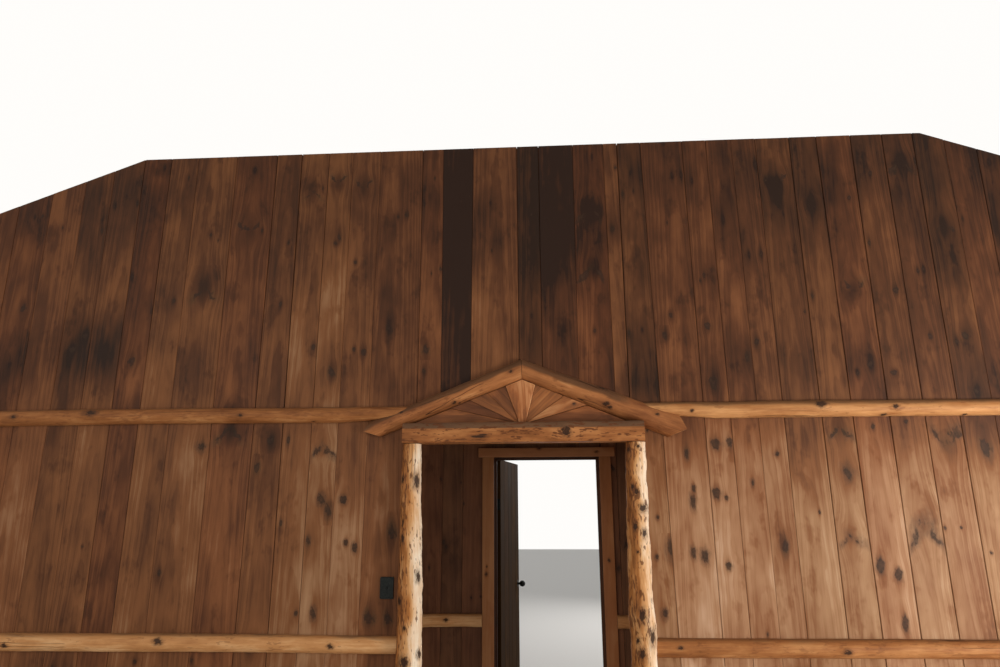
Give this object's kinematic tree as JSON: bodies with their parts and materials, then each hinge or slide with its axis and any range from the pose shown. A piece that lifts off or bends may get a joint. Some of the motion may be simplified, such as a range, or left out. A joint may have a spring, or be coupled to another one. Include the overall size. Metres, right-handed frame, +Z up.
{
  "type": "log-framed doorway in a plank partition wall",
  "caption": "Log cabin partition of upright planks with half-log rails, a log-framed doorway under a sunburst gable, and a short hall with a hinged plank door behind it.",
  "frame": {"origin": "on the ground, at the middle of the assembly's footprint; the wall's front face is 0.867 m in front of it, with the doorway's middle at x = 0", "axes": "+X along the wall to the right, +Y through the doorway away from the room, +Z up"},
  "size_m": [8, 2.0534, 4.2],
  "materials": {
    "wall_planks": "satin stain, knotty pine",
    "hall_planks": "dark satin stain",
    "post_log": "peeled, oiled",
    "lintel_log": "hewn, oiled",
    "raking_log": "peeled, oiled",
    "sunburst_boards": "rough sawn, oiled",
    "rail_log": "peeled, oiled",
    "trim_boards": "satin stain",
    "door_planks": "dark stain",
    "dark_iron": "dark, satin"
  },
  "bodies": {
    "partition": {"door_lintel": "lintel_log", "door_post_left": "post_log", "door_post_right": "post_log", "hall_ceiling": "hall_planks", "hall_joist_left": "hall_planks", "hall_joist_middle": "hall_planks", "hall_joist_right": "hall_planks", "hinge_jamb_lower": "dark_iron", "hinge_jamb_upper": "dark_iron", "inner_casing_head": "trim_boards", "inner_casing_left": "trim_boards", "inner_casing_right": "trim_boards", "inner_jamb_head": "trim_boards", "inner_jamb_left": "trim_boards", "inner_jamb_right": "trim_boards", "inner_rail_left": "rail_log", "inner_rail_right": "rail_log", "inner_wall_left": "hall_planks", "inner_wall_over_door": "hall_planks", "inner_wall_right": "hall_planks", "lower_rail_left": "rail_log", "lower_rail_right": "rail_log", "pediment_log_left": "raking_log", "pediment_log_right": "raking_log", "sunburst_center": "sunburst_boards", "sunburst_corner_left": "sunburst_boards", "sunburst_corner_right": "sunburst_boards", "sunburst_left_1": "sunburst_boards", "sunburst_left_2": "sunburst_boards", "sunburst_left_3": "sunburst_boards", "sunburst_right_1": "sunburst_boards", "sunburst_right_2": "sunburst_boards", "switch_plate": "dark_iron", "upper_rail_left": "rail_log", "upper_rail_right": "rail_log", "wall_left": "wall_planks", "wall_over_door": "wall_planks", "wall_right": "wall_planks"},
    "door": {"door_leaf": "door_planks", "door_knob": "dark_iron", "door_ledge_lower": "door_planks", "door_ledge_upper": "door_planks", "hinge_leaf_lower": "dark_iron", "hinge_leaf_upper": "dark_iron"}
  },
  "joints": [
    {"name": "door_swing", "type": "hinge", "parent": "partition", "child": "door", "pos_m": [-0.2515, 0.22015, 0], "axis": [0, 0, 1], "range_deg": [-82, 20]}
  ]
}
